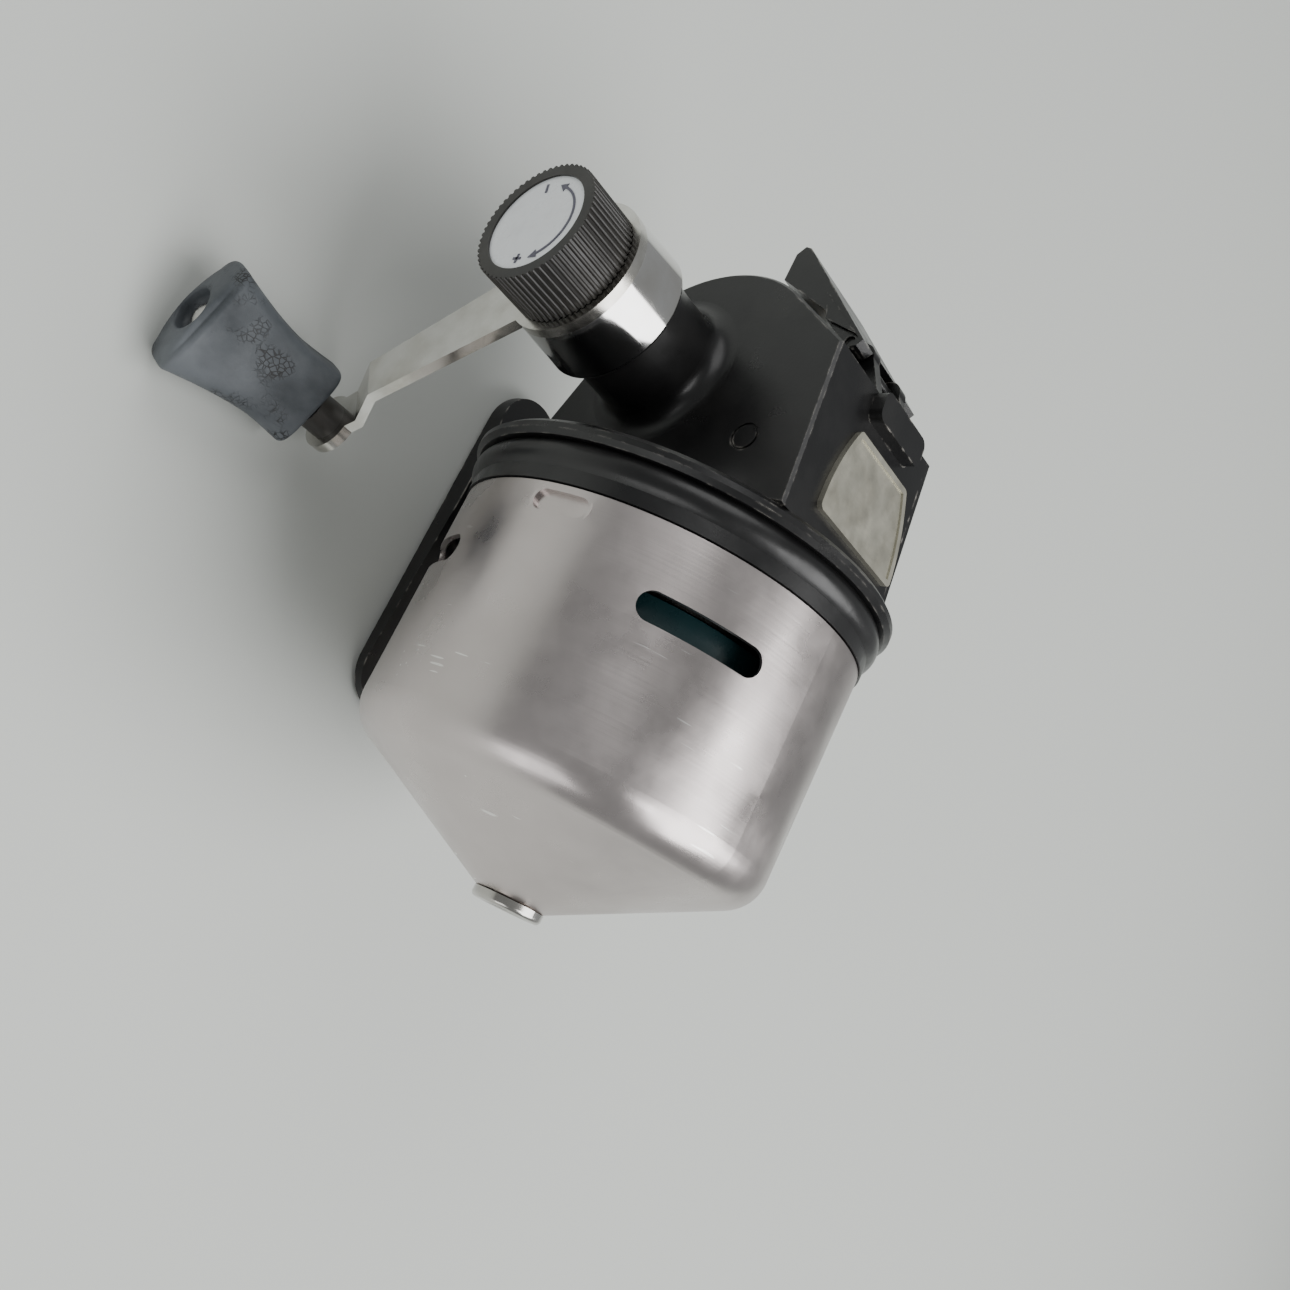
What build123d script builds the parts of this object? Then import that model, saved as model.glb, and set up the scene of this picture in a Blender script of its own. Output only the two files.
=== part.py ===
"""Closed-face spincast fishing reel: die-cast housing, twist-off front cover, crank, rotor and thumb lever.

Millimetres. +X points along the reel's axis to the nose, +Y away from the crank, +Z up from the rod.
The origin is the centre of the foot's flat underside.
"""

import os
from math import asin, atan2, cos, degrees, hypot, radians, sin

from build123d import *

os.makedirs("parts", exist_ok=True)

# reel axis and crank axis
axis_height = 46.0
crank_x = -27.1
crank_drop = 2.4
crank_z = axis_height - crank_drop

# clearances
running_gap = 0.05
cover_gap = 0.1
loose_gap = 0.3

# front cover
cover_radius = 31.0
cover_wall = 0.8
cover_straight = 35.1
cover_taper = 0.1
cover_length = 48.4
cover_nose_radius = 4.9
cover_shoulder = 6.0
slot_count = 4
slot_x = 10.7
slot_length = 18.1
slot_width = 4.1
slot_angle = 34.0
lug_count = 2
lug_x = 2.5
lug_angle = 79.0
lug_length = 8.5
lug_width = 3.0
lug_depth = 0.9
lug_wall = 0.5
twist_angle = 20.0
groove_margin = 0.6
groove_clearance = 0.3

# rubber ring
seal_radius = 32.2
seal_lip = 31.3
seal_step_x = -2.3
seal_front_x = -0.2

# nose ring
nose_bore_radius = 3.0
nose_hole_radius = 4.0
nose_flange_radius = 5.2
nose_flange_thickness = 1.5
nose_tube_depth = 1.9

# housing
flange_radius = 33.0
flange_rear_x = -8.4
flange_front_x = -6.2
spigot_length = 5.5
spigot_wall = 2.6
housing_wall = 1.8
housing_near_y = -17.4
housing_far_y = 11.5
rear_arc_x = -24.2
rear_arc_z = 3.4
rear_arc_radius = 20.0
rear_arc_top_angle = 149.0
rear_arc_bottom_angle = 250.0
roof_rear_x = -33.3
roof_rear_z = 25.5
roof_front_z = 28.3
belly_front_z = -22.7
edge_break = 0.4
hub_radius = 6.0
hub_length = 20.5
bush_radius = 4.0
rib_length = 4.6
rib_width = 13.0
rib_height = 2.0
rib_round = 1.4
mark_groove = 0.3
flange_round = 0.7
mark_radius = 2.1
mark_x = -17.5
mark_z = 17.4

# crank boss
boss_radius = 9.1
boss_flare = 3.0
boss_end_y = -33.0
boss_bore_radius = 6.0

# foot and stem
stem_root = 3.0
foot_head_radius = 2.6
foot_head_height = 1.6
foot_screw_thread = 7.0
screw_sink = 0.2
driver_slot = 0.6
driver_depth = 0.5
foot_length = 60.0
foot_width = 15.0
foot_thickness = 3.6
foot_tip_thickness = 1.6
stem_rear_x = -21.0
stem_front_x = -6.8
stem_width = 8.0
foot_screw_radius = 1.5
foot_screw_x = (-17.0, -11.0)

# side cover
side_cover_thickness = 2.5
side_cover_bevel = 1.6
post_radius = 2.8
post_thread = 9.0
cover_screw_radius = 1.2
screw_head_radius = 2.2
screw_head_height = 1.2
post_places = ((-12.2, 22.0), (-12.2, -15.0), (-36.0, 14.5))

# nameplate
plate_front = 21.4
plate_rear = 7.4
plate_front_width = 21.6
plate_rear_width = 14.8
plate_bow = 0.9
plate_thickness = 0.5
plate_border = 0.9
plate_border_height = 0.3

# rotor and spool
shaft_radius = 1.5
shaft_rear_x = -40.2
shaft_front_x = 29.8
rotor_radius = 26.0
rotor_wall = 1.0
rotor_rear_x = 8.0
rotor_front_x = 25.2
rotor_disc = 1.2
rotor_hub_radius = 4.0
rotor_hub_rear_x = 21.5
rotor_hub_front_x = 27.0
nut_height = 2.4
nut_across = 7.0
spool_rear_x = 6.0
spool_front_x = 18.0
spool_flange_radius = 24.0
spool_flange = 1.2
spool_core_radius = 12.0
clip_thickness = 0.8
clip_radius = 8.0
clip_groove = 0.5
clip_mouth = 7.0
front_bush_x = 12.0
pin_radius = 1.0
pin_x = 21.0
pin_tip_radius = 28.4
pin_root_radius = 21.5
pin_guide = 3.6

# gears
gear_module = 0.7
gear_teeth = 30
pinion_teeth = 10
tooth_addendum = 0.45
tooth_dedendum = 0.75
gear_face = 1.6
gear_inset = 0.2
gear_sink = 0.4
gear_web = 3.25
tooth_root_share = 0.37
tooth_tip_share = 0.24
pinion_length = 4.0
journal_radius = 2.6
journal_front_x = 1.0

# crank
crank_shaft_radius = 4.0
crank_arbor_radius = 3.0
crank_stub_radius = 2.5
crank_stud_radius = 2.4
washer_thickness = 0.9
washer_radius = 8.8
sleeve_mouth_y = -29.8
sleeve_end_y = -38.4
sleeve_mouth_radius = 10.8
sleeve_end_radius = 10.4
arm_thickness = 1.6
arm_reach = 45.4
arm_angle = -56.0
arm_hub_radius = 10.4
arm_root_width = 9.8
arm_tip_width = 5.5
arm_tip_radius = 4.4
arm_bend_start = 35.0
arm_bend_end = 40.0
arm_joggle = 3.0
stud_end_y = -46.0
sleeve_round = 0.5
spring_cone = 1.2
spring_leaf = 0.5
spring_cone_radius = 6.6

# drag knob
knob_radius = 8.9
knob_rib_radius = 0.3
knob_ribs = 60
knob_rim_y = -40.1
knob_face_y = -48.5
knob_recess_radius = 7.2
knob_recess_depth = 3.5
label_radius = 7.45
label_thickness = 0.4
label_inset = 0.3

# grip
grip_inner_y = -41.3
grip_outer_y = -63.0
grip_inner_width = 13.5
grip_outer_width = 17.4
grip_inner_thickness = 7.6
grip_outer_thickness = 8.8
grip_turn = 154.5
grip_recess_radius = 3.4
grip_recess_depth = 2.4
grip_round = 1.2
collar_radius = 3.0
spindle_radius = 1.5
spindle_head_radius = 2.6
spindle_head_height = 1.2

# thumb lever and thrust button
pivot_x = -39.2
pivot_z = 19.6
pivot_pin_radius = 0.8
lug_ear_radius = 2.2
ear_inner_y = 3.5
ear_outer_y = 5.5
lever_width = 18.0
lever_tip_x = -55.6
lever_tip_z = 3.0
lever_tip_round = 1.1
tongue_thickness = 2.4
tongue_width = 6.0
tongue_front_x = -47.4
tongue_bottom_z = -3.0
cheek_pad_height = 0.5
button_radius = 2.2
button_flange_radius = 2.8
button_dome = 0.6
button_front_x = -36.0
button_flange_x = -41.6

# return spring
spring_radius = 2.3
spring_wire = 0.35
spring_turns = 7
spring_rear_x = -33.3
spring_collar_radius = 2.6
spring_collar_thickness = 0.8

# derived sizes
cover_bore_radius = cover_radius - cover_wall
spigot_radius = cover_bore_radius - cover_gap
lug_angles = [lug_angle + number * 360 / lug_count for number in range(lug_count)]
lug_inner_radius = cover_bore_radius - lug_depth - 0.1
lug_half_angle = degrees((lug_length / 2 + lug_wall) / lug_inner_radius) + groove_margin
groove_half = lug_width / 2 + lug_wall + groove_clearance
groove_floor = lug_inner_radius - groove_clearance
ear_pin_half = lever_width / 2 - 0.4
rivet_base_y = grip_outer_y + grip_recess_depth - loose_gap
spindle_outer_y = rivet_base_y - spindle_head_height
tongue_rear_x = tongue_front_x - tongue_thickness
button_rear_x = tongue_front_x + loose_gap
plate_side = (plate_front_width + plate_rear_width) / 4 + plate_bow
clip_x = spool_front_x + running_gap
gear_radius = gear_module * gear_teeth / 2
pinion_radius = gear_module * pinion_teeth / 2
tooth_pitch = gear_module * 3.14159265
mesh_x = crank_x + gear_radius
pinion_rear_x = mesh_x - pinion_length / 2
spring_length = pinion_rear_x - spring_rear_x - 2 * spring_wire - 2 * running_gap
gear_root_y = -pinion_radius - tooth_dedendum
gear_back_y = gear_root_y - gear_web
gear_outer_radius = gear_radius + gear_face / 2
cavity_near_y = housing_near_y + housing_wall
deck_rear_x = flange_rear_x - housing_wall
side_cover_y = housing_far_y + side_cover_thickness
arm_outer_y = sleeve_end_y - arm_thickness
washers_start_y = boss_end_y - loose_gap
washers_end_y = washers_start_y - 3 * washer_thickness
grip_dx = arm_reach * cos(radians(arm_angle))
grip_dz = arm_reach * sin(radians(arm_angle))
grip_x = crank_x + grip_dx
grip_z = crank_z + grip_dz
tab_outer_y = arm_outer_y + arm_joggle
tab_inner_y = sleeve_end_y + arm_joggle
spacer_length = gear_back_y - cavity_near_y - 2 * loose_gap
pin_guide_radius = pin_root_radius + pin_guide / 5
grip_sections = (
    (grip_inner_y, grip_inner_width, grip_inner_thickness),
    (grip_outer_y, grip_outer_width, grip_outer_thickness),
)
cone_run = cover_length - cover_straight
cone_drop = cover_radius - cover_taper - cover_nose_radius
cone_length = hypot(cone_run, cone_drop)
cone_inner_x = cover_straight - cover_wall * cone_drop / cone_length
cone_inner_radius = cover_radius - cover_taper - cover_wall * cone_run / cone_length
cone_inner_shoulder_x = cone_inner_x + (cone_inner_radius - cover_bore_radius + cover_taper) * cone_run / cone_drop
cone_inner_nose_x = cone_inner_x + (cone_inner_radius - nose_hole_radius) * cone_run / cone_drop
gear_face_y = gear_root_y
tooth_height = tooth_addendum + tooth_dedendum
tooth_root = tooth_pitch * tooth_root_share
tooth_tip = tooth_pitch * tooth_tip_share
collar_length = tab_outer_y - grip_inner_y - loose_gap
roof_slope = degrees(atan2(roof_front_z - roof_rear_z, flange_rear_x - roof_rear_x))

reel_axis = Axis((0, 0, axis_height), (1, 0, 0))
crank_axis = Axis((crank_x, 0, crank_z), (0, 1, 0))


turn_plane = Plane(origin=(crank_x, 0, crank_z), x_dir=(1, 0, 0), z_dir=(0, 0, 1))
spindle_plane = Plane(origin=(grip_x, 0, grip_z), x_dir=(1, 0, 0), z_dir=(0, 0, 1))
grip_axis = Axis((grip_x, 0, grip_z), (0, 1, 0))
arm_turn = radians(arm_angle)
arm_side_plane = Plane(
    origin=(crank_x, 0, crank_z), x_dir=(cos(arm_turn), 0, sin(arm_turn)), z_dir=(-sin(arm_turn), 0, cos(arm_turn))
)


def side_plane(y):
    """Plane facing -Y through the reel axis: local x is X, local y is height above the axis."""
    return Plane(origin=(0, y, axis_height), x_dir=(1, 0, 0), z_dir=(0, -1, 0))


def cross_plane(x):
    """Plane facing the nose at x, centred on the reel axis: local x is Y, local y is Z."""
    return Plane(origin=(x, 0, axis_height), x_dir=(0, 1, 0), z_dir=(1, 0, 0))


def crank_plane(y):
    """Plane facing -Y at y, centred on the crank axis."""
    return Plane(origin=(crank_x, y, crank_z), x_dir=(1, 0, 0), z_dir=(0, -1, 0))


def grip_plane(y):
    """Plane facing -Y at y, centred on the grip's spindle, local x along the grip's wide way."""
    wide = radians(grip_turn)
    return Plane(origin=(grip_x, y, grip_z), x_dir=(cos(wide), 0, sin(wide)), z_dir=(0, -1, 0))


def arm_plane(y):
    """Plane facing -Y at y, centred on the crank axis, local x along the crank arm."""
    turn = radians(arm_angle)
    return Plane(origin=(crank_x, y, crank_z), x_dir=(cos(turn), 0, sin(turn)), z_dir=(0, -1, 0))


def around_plane(angle):
    """Plane through the reel axis whose local y points out at angle from +Z towards -Y."""
    turn = radians(angle)
    return Plane(origin=(0, 0, axis_height), x_dir=(1, 0, 0), z_dir=(0, -cos(turn), -sin(turn)))


def outward_plane(angle, x, radius):
    """Plane facing out at angle from +Z towards -Y, at x and radius, local x around the axis."""
    turn = radians(angle)
    origin = (x, -radius * sin(turn), axis_height + radius * cos(turn))
    return Plane(origin=origin, x_dir=(0, -cos(turn), -sin(turn)), z_dir=(0, -sin(turn), cos(turn)))


def arc_point(angle):
    """Point of the housing's round rear at angle from +X."""
    turn = radians(angle)
    return (rear_arc_x + rear_arc_radius * cos(turn), rear_arc_z + rear_arc_radius * sin(turn))


def dome_middle(radius, height):
    """Middle point of a round dome's profile, as distance from its axis and from its base."""
    ball = (radius * radius + height * height) / (2 * height)
    half = asin(radius / ball) / 2
    return (ball * sin(half), height - ball * (1 - cos(half)))


def save(part, name):
    """Labels one finished piece and writes it under its own name."""
    part.label = name
    export_step(part, f"parts/{name}.step")


arc_top = arc_point(rear_arc_top_angle)
arc_middle = arc_point((rear_arc_top_angle + rear_arc_bottom_angle) / 2)
arc_bottom = arc_point(rear_arc_bottom_angle)
roof_plane = Plane(
    origin=(roof_rear_x, 0, axis_height + roof_rear_z),
    x_dir=(cos(radians(roof_slope)), 0, sin(radians(roof_slope))),
    z_dir=(-sin(radians(roof_slope)), 0, cos(radians(roof_slope))),
)

# side profile of the housing, used by the housing, its cavity and the side cover
with BuildSketch(side_plane(0)) as housing_profile:
    with BuildLine():
        Polyline(arc_bottom, (flange_rear_x, belly_front_z), (flange_rear_x, roof_front_z))
        Polyline((flange_rear_x, roof_front_z), (roof_rear_x, roof_rear_z), arc_top)
        ThreePointArc(arc_top, arc_middle, arc_bottom)
    make_face()

with BuildSketch(side_plane(0)) as cavity_profile:
    add(housing_profile.sketch_local)
    offset(amount=-housing_wall, kind=Kind.INTERSECTION, mode=Mode.REPLACE)

# housing: casting with flange, spigot, hub, boss, stem and lever ears
with BuildPart() as body_housing:
    with BuildSketch(side_plane(housing_far_y)):
        add(housing_profile.sketch_local)
    extrude(amount=housing_far_y - housing_near_y)
    chamfer(body_housing.faces().sort_by(Axis.Y)[0].edges(), edge_break)
    with BuildSketch(side_plane(0)):
        Polygon(
            (deck_rear_x, 0),
            (deck_rear_x, hub_radius),
            (flange_rear_x, hub_radius),
            (flange_rear_x, flange_radius - flange_round),
            (flange_rear_x + flange_round, flange_radius),
            (flange_front_x - flange_round, flange_radius),
            (flange_front_x, flange_radius - flange_round),
            (flange_front_x, spigot_radius),
            (spigot_length, spigot_radius),
            (spigot_length, spigot_radius - spigot_wall),
            (flange_front_x, spigot_radius - spigot_wall),
            (flange_front_x, hub_radius),
            (hub_length, hub_radius),
            (hub_length, 0),
            align=None,
        )
    revolve(axis=reel_axis)
    with BuildSketch(side_plane(0)):
        Polygon(
            (stem_rear_x, foot_thickness - axis_height),
            (stem_front_x, foot_thickness - axis_height),
            (stem_front_x, stem_root - flange_radius),
            (flange_rear_x, belly_front_z + stem_root),
            (stem_rear_x - stem_root, belly_front_z + 2 * stem_root),
            align=None,
        )
    extrude(amount=stem_width / 2, both=True)
    with BuildSketch(turn_plane):
        with BuildLine():
            Polyline((0, cavity_near_y), (0, boss_end_y), (boss_radius, boss_end_y))
            Line((boss_radius, boss_end_y), (boss_radius, housing_near_y - boss_flare))
            RadiusArc(
                (boss_radius, housing_near_y - boss_flare),
                (boss_radius + boss_flare, housing_near_y),
                boss_flare,
            )
            Polyline((boss_radius + boss_flare, housing_near_y), (boss_radius, cavity_near_y), (0, cavity_near_y))
        make_face()
    revolve(axis=crank_axis)
    with BuildSketch(roof_plane) as rib_outline:
        with Locations((rib_length / 2, 0)):
            Rectangle(rib_length, rib_width)
        fillet(rib_outline.vertices(), rib_round)
    extrude(amount=rib_height)
    for side in (-1, 1):
        with BuildSketch(side_plane(side * (ear_inner_y + ear_outer_y) / 2)):
            with Locations((pivot_x, pivot_z)):
                Circle(lug_ear_radius)
            Polygon(
                (pivot_x, pivot_z + lug_ear_radius),
                (roof_rear_x, roof_rear_z - edge_break),
                (arc_top[0] + housing_wall, arc_top[1]),
                (pivot_x, pivot_z - lug_ear_radius),
                align=None,
            )
        extrude(amount=(ear_outer_y - ear_inner_y) / 2, both=True)
    with BuildSketch(side_plane(housing_far_y)):
        add(cavity_profile.sketch_local)
    extrude(amount=housing_far_y - cavity_near_y, mode=Mode.SUBTRACT)
    with BuildSketch(side_plane(housing_far_y)):
        with Locations(*post_places):
            Circle(post_radius)
    extrude(amount=housing_far_y - cavity_near_y)
    with Locations(cross_plane(hub_length)):
        Hole(bush_radius)
    with Locations(crank_plane(boss_end_y)):
        Hole(boss_bore_radius, depth=cavity_near_y - boss_end_y)
    with BuildSketch(side_plane(0)):
        Polygon(
            (clip_x, hub_radius - clip_groove),
            (clip_x + clip_thickness, hub_radius - clip_groove),
            (clip_x + clip_thickness, hub_radius + 1),
            (clip_x, hub_radius + 1),
            align=None,
        )
    revolve(axis=reel_axis, mode=Mode.SUBTRACT)
    for angle in lug_angles:
        start = angle - lug_half_angle
        with BuildSketch(around_plane(start)):
            Polygon(
                (lug_x - groove_half, groove_floor),
                (lug_x + groove_half, groove_floor),
                (lug_x + groove_half, cover_radius),
                (lug_x - groove_half, cover_radius),
                align=None,
            )
        revolve(axis=reel_axis, revolution_arc=2 * lug_half_angle + twist_angle, mode=Mode.SUBTRACT)
        with BuildSketch(around_plane(start + twist_angle)):
            Polygon(
                (lug_x, groove_floor),
                (spigot_length + 1, groove_floor),
                (spigot_length + 1, cover_radius),
                (lug_x, cover_radius),
                align=None,
            )
        revolve(axis=reel_axis, revolution_arc=2 * lug_half_angle, mode=Mode.SUBTRACT)
    with Locations(cross_plane(deck_rear_x)):
        with Locations((0, 0)):
            Cylinder(
                button_radius + running_gap,
                2 * rear_arc_radius + housing_wall,
                align=(Align.CENTER, Align.CENTER, Align.MAX),
                mode=Mode.SUBTRACT,
            )
    with Locations(Plane(origin=(pivot_x, 0, axis_height + pivot_z), z_dir=(0, 1, 0))):
        Cylinder(pivot_pin_radius, 2 * ear_outer_y, mode=Mode.SUBTRACT)
    with BuildSketch(side_plane(housing_near_y)):
        with Locations((mark_x, mark_z)):
            Circle(mark_radius)
            Circle(mark_radius - mark_groove, mode=Mode.SUBTRACT)
    extrude(amount=-mark_groove, mode=Mode.SUBTRACT)
    with BuildSketch(side_plane(housing_far_y)):
        with Locations(*post_places):
            Circle(cover_screw_radius)
    extrude(amount=post_thread, mode=Mode.SUBTRACT)
    with BuildSketch(Plane.XY.offset(foot_thickness)):
        with Locations(*[(x, 0) for x in foot_screw_x]):
            Circle(foot_screw_radius)
    extrude(amount=foot_screw_thread, mode=Mode.SUBTRACT)
save(body_housing.part, "body_housing")

# rubber ring between the flange and the cover's rim
with BuildPart() as seal_ring:
    with BuildSketch(side_plane(0)):
        with BuildLine():
            Polyline((seal_front_x, seal_lip), (seal_front_x, spigot_radius))
            Polyline((seal_front_x, spigot_radius), (flange_front_x, spigot_radius), (flange_front_x, seal_lip))
            ThreePointArc(
                (flange_front_x, seal_lip),
                ((flange_front_x + seal_step_x) / 2, seal_radius),
                (seal_step_x, seal_lip),
            )
            Line((seal_step_x, seal_lip), (seal_front_x, seal_lip))
        make_face()
    revolve(axis=reel_axis)
save(seal_ring.part, "seal_ring")

# foot: flat plate with round ends, thinner towards its tips
with BuildPart() as reel_foot:
    with BuildSketch(Plane.XY):
        SlotOverall(foot_length, foot_width)
    extrude(amount=foot_thickness)
    with BuildSketch(Plane.XZ):
        Polygon(
            (-foot_length / 2, 0),
            (foot_length / 2, 0),
            (foot_length / 2, foot_tip_thickness),
            (stem_front_x, foot_thickness),
            (stem_rear_x, foot_thickness),
            (-foot_length / 2, foot_tip_thickness),
            align=None,
        )
    extrude(amount=foot_width, both=True, mode=Mode.INTERSECT)
    with BuildSketch(Plane.XY):
        with Locations(*[(x, 0) for x in foot_screw_x]):
            Circle(foot_screw_radius)
    extrude(amount=foot_thickness, mode=Mode.SUBTRACT)
    with BuildSketch(Plane.XY):
        with Locations(*[(x, 0) for x in foot_screw_x]):
            Circle(foot_head_radius)
    extrude(amount=foot_head_height, mode=Mode.SUBTRACT)
save(reel_foot.part, "reel_foot")

with BuildPart() as foot_screws:
    with BuildSketch(Plane.XY.offset(screw_sink)):
        with Locations(*[(x, 0) for x in foot_screw_x]):
            Circle(foot_head_radius)
            Rectangle(2 * foot_head_radius, driver_slot, mode=Mode.SUBTRACT)
    extrude(amount=driver_depth)
    with BuildSketch(Plane.XY.offset(screw_sink + driver_depth)):
        with Locations(*[(x, 0) for x in foot_screw_x]):
            Circle(foot_head_radius)
    extrude(amount=foot_head_height - screw_sink - driver_depth)
    with BuildSketch(Plane.XY.offset(foot_head_height)):
        with Locations(*[(x, 0) for x in foot_screw_x]):
            Circle(foot_screw_radius)
    extrude(amount=foot_thickness - foot_head_height + foot_screw_thread)
save(foot_screws.part, "foot_screws")

# left side cover with its screws
with BuildPart() as side_cover:
    with BuildSketch(side_plane(side_cover_y)):
        add(housing_profile.sketch_local)
    extrude(amount=side_cover_thickness)
    chamfer(side_cover.faces().sort_by(Axis.Y)[-1].edges(), side_cover_bevel)
    with BuildSketch(side_plane(side_cover_y)):
        with Locations(*post_places):
            Circle(cover_screw_radius)
    extrude(amount=side_cover_thickness, mode=Mode.SUBTRACT)
    with BuildSketch(side_plane(side_cover_y)):
        with Locations(*post_places):
            Circle(screw_head_radius)
    extrude(amount=screw_head_height, mode=Mode.SUBTRACT)
save(side_cover.part, "side_cover")

with BuildPart() as cover_screws:
    with BuildSketch(side_plane(side_cover_y)):
        with Locations(*post_places):
            Circle(screw_head_radius)
            Rectangle(2 * screw_head_radius, driver_slot, mode=Mode.SUBTRACT)
    extrude(amount=driver_depth)
    with BuildSketch(side_plane(side_cover_y - driver_depth)):
        with Locations(*post_places):
            Circle(screw_head_radius)
    extrude(amount=screw_head_height - driver_depth)
    with BuildSketch(side_plane(side_cover_y - screw_head_height)):
        with Locations(*post_places):
            Circle(cover_screw_radius)
    extrude(amount=side_cover_thickness - screw_head_height + post_thread)
save(cover_screws.part, "cover_screws")

# bare nameplate with a raised border
with BuildPart() as nameplate:
    with BuildSketch(roof_plane) as plate_outline:
        with BuildLine():
            Line((plate_rear, -plate_rear_width / 2), (plate_rear, plate_rear_width / 2))
            ThreePointArc(
                (plate_rear, plate_rear_width / 2),
                ((plate_rear + plate_front) / 2, plate_side),
                (plate_front, plate_front_width / 2),
            )
            Line((plate_front, plate_front_width / 2), (plate_front, -plate_front_width / 2))
            ThreePointArc(
                (plate_front, -plate_front_width / 2),
                ((plate_rear + plate_front) / 2, -plate_side),
                (plate_rear, -plate_rear_width / 2),
            )
        make_face()
        fillet(plate_outline.vertices(), plate_border)
    extrude(amount=plate_thickness + plate_border_height)
    with BuildSketch(roof_plane.offset(plate_thickness)):
        add(plate_outline.sketch_local)
        offset(amount=-plate_border, kind=Kind.INTERSECTION, mode=Mode.REPLACE)
    extrude(amount=plate_border_height, mode=Mode.SUBTRACT)
save(nameplate.part, "nameplate")


def tube(plane, outer, inner, length):
    """Round tube or rod that starts on the plane and runs along its normal."""
    with BuildPart() as piece:
        with BuildSketch(plane):
            Circle(outer)
            if inner > 0:
                Circle(inner, mode=Mode.SUBTRACT)
        extrude(amount=length)
    return piece.part


crank_bore = crank_shaft_radius + running_gap
journal_bore = journal_radius + running_gap
shaft_bore = shaft_radius + running_gap
save(tube(crank_plane(cavity_near_y), boss_bore_radius, crank_bore, cavity_near_y - boss_end_y), "crank_bush")
save(tube(cross_plane(deck_rear_x), bush_radius, journal_bore, journal_front_x - deck_rear_x), "pinion_bush")
save(tube(cross_plane(front_bush_x), bush_radius, shaft_bore, hub_length - front_bush_x), "front_bush")
pin_plane = Plane(origin=(pivot_x, ear_pin_half, axis_height + pivot_z), z_dir=(0, -1, 0))
save(tube(pin_plane, pivot_pin_radius, 0, 2 * ear_pin_half), "lever_pin")

# spool on the hub, held by a spring clip
with BuildPart() as spool:
    with BuildSketch(side_plane(0)):
        Polygon(
            (spool_rear_x, hub_radius),
            (spool_rear_x, spool_flange_radius),
            (spool_rear_x + spool_flange, spool_flange_radius),
            (spool_rear_x + spool_flange, spool_core_radius),
            (spool_front_x - spool_flange, spool_core_radius),
            (spool_front_x - spool_flange, spool_flange_radius),
            (spool_front_x, spool_flange_radius),
            (spool_front_x, hub_radius),
            align=None,
        )
    revolve(axis=reel_axis)
save(spool.part, "spool")

with BuildPart() as spool_clip:
    with BuildSketch(cross_plane(clip_x)):
        Circle(clip_radius)
        Circle(hub_radius - clip_groove, mode=Mode.SUBTRACT)
        with Locations((0, -clip_radius)):
            Rectangle(clip_mouth, 2 * clip_radius - hub_radius, mode=Mode.SUBTRACT)
    extrude(amount=clip_thickness)
save(spool_clip.part, "spool_clip")

# front cover: thin spun shell with slots and pressed-in bayonet lugs
with BuildPart() as front_cover:
    with BuildSketch(side_plane(0)) as shell:
        Polygon(
            (0, cover_radius),
            (cover_straight, cover_radius - cover_taper),
            (cover_length, cover_nose_radius),
            (cover_length, nose_hole_radius),
            (cone_inner_nose_x, nose_hole_radius),
            (cone_inner_shoulder_x, cover_bore_radius - cover_taper),
            (0, cover_bore_radius),
            align=None,
        )
        outer = shell.vertices().filter_by(
            lambda v: abs(v.X - cover_straight) < 0.01 and v.Y > cover_bore_radius
        )
        fillet(outer, cover_shoulder)
        inner = shell.vertices().filter_by(
            lambda v: abs(v.X - cone_inner_shoulder_x) < 0.01 and v.Y > nose_flange_radius
        )
        fillet(inner, cover_shoulder - cover_wall)
    revolve(axis=reel_axis)
    for angle in lug_angles:
        with BuildSketch(outward_plane(angle, lug_x, lug_inner_radius)):
            SlotOverall(lug_length + 2 * lug_wall, lug_width + 2 * lug_wall)
        extrude(amount=cover_bore_radius - lug_inner_radius + lug_wall)
        with BuildSketch(outward_plane(angle, lug_x, lug_inner_radius + cover_wall)):
            SlotOverall(lug_length, lug_width)
        extrude(amount=cover_wall + lug_depth, mode=Mode.SUBTRACT)
    for number in range(slot_count):
        angle = slot_angle + number * 360 / slot_count
        with BuildSketch(outward_plane(angle, slot_x, rotor_radius)):
            SlotOverall(slot_length, slot_width)
        extrude(amount=cover_radius, mode=Mode.SUBTRACT)
save(front_cover.part, "front_cover")

with BuildPart() as nose_ring:
    with BuildSketch(side_plane(0)) as ring_section:
        Polygon(
            (cover_length - nose_tube_depth, nose_bore_radius),
            (cover_length - nose_tube_depth, nose_hole_radius),
            (cover_length, nose_hole_radius),
            (cover_length, nose_flange_radius),
            (cover_length + nose_flange_thickness, nose_flange_radius),
            (cover_length + nose_flange_thickness, nose_bore_radius),
            align=None,
        )
        front = ring_section.vertices().filter_by(lambda v: v.X > cover_length + nose_flange_thickness - 0.01)
        fillet(front, nose_flange_thickness * 0.45)
    revolve(axis=reel_axis)
save(nose_ring.part, "nose_ring")

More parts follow.
